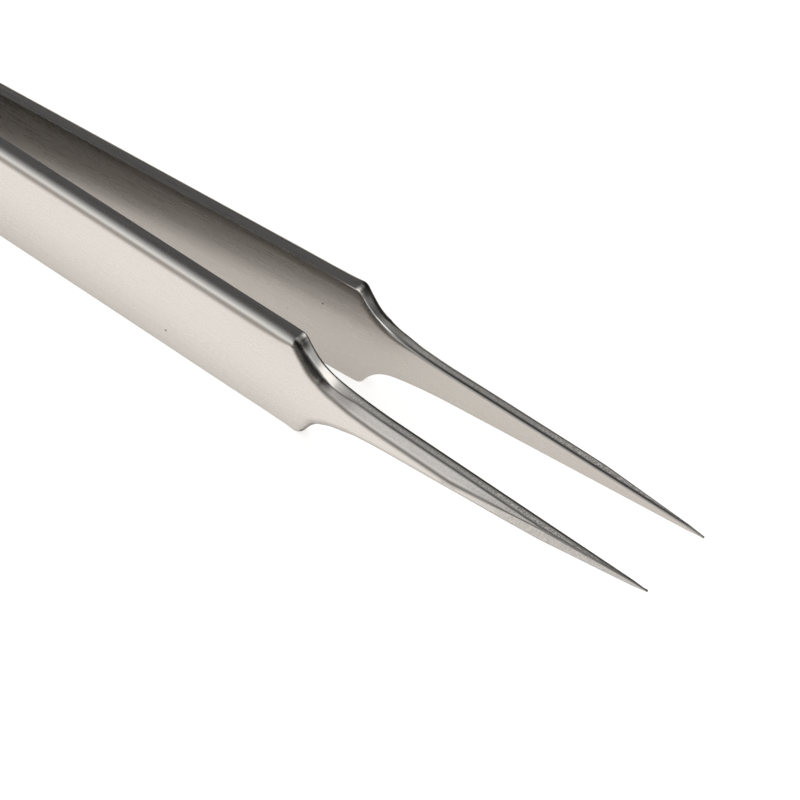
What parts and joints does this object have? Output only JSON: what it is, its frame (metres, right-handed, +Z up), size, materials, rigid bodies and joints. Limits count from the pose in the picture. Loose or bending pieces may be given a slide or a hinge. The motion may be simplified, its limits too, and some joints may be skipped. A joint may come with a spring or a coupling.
{
  "type": "pointed tweezers",
  "caption": "Fine pointed tweezers: flat sprung steel arms welded at the tail and relieved at the shoulders into long slender points that meet when the arms are squeezed.",
  "frame": {"origin": "middle of the tweezers' bounding box, on the surface that the blades' lower edges lie on", "axes": "+X towards the points, +Y towards the left arm across the gap, +Z up along the blades' height"},
  "size_m": [0.11, 0.0078, 0.0085],
  "materials": {
    "steel": "satin ground stainless steel with a fine lengthwise grain, brighter on the rounded edges"
  },
  "bodies": {
    "tail": {"welded_tail": "steel"},
    "left_arm": {"left_arm": "steel"},
    "right_arm": {"right_arm": "steel"}
  },
  "joints": [
    {"name": "left_arm_flex", "type": "hinge", "parent": "tail", "child": "left_arm", "pos_m": [-0.04598, 0, 0.00425], "axis": [0, 0, -1], "range_deg": [0, 1.57], "stiffness_Nm_per_rad": 1.4},
    {"name": "right_arm_flex", "type": "hinge", "parent": "tail", "child": "right_arm", "pos_m": [-0.04598, 0, 0.00425], "axis": [0, 0, 1], "range_deg": [0, 1.57], "stiffness_Nm_per_rad": 1.4}
  ],
  "couplings": [
    {"joint": "right_arm_flex", "follows": "left_arm_flex", "ratio": 1}
  ]
}
